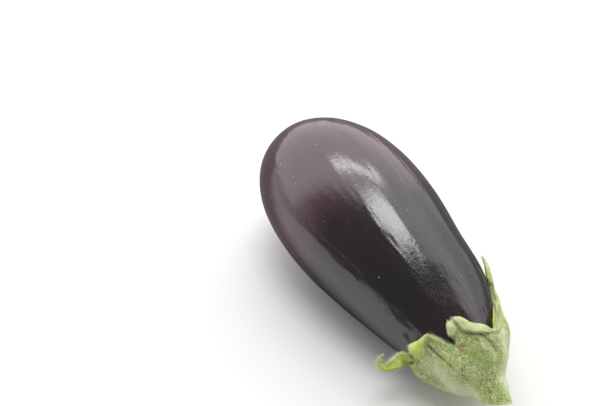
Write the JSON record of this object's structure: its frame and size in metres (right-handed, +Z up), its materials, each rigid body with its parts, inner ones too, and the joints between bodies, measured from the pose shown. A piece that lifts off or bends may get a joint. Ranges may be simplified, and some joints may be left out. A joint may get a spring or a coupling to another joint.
{
  "type": "eggplant",
  "caption": "Whole eggplant lying on its side: a glossy dark purple fruit with a green calyx of curled, pointed sepals and a short cut stem.",
  "frame": {"origin": "middle of the small flat spot that the fruit rests on", "axes": "+Z up; +X along the fruit, from the blossom end towards the stem; +Y to the far side"},
  "size_m": [0.1549, 0.0683, 0.0692],
  "materials": {
    "skin": "gloss",
    "calyx": "matte"
  },
  "bodies": {
    "root": {"fruit": "skin", "calyx_and_stem": "calyx"}
  },
  "joints": []
}
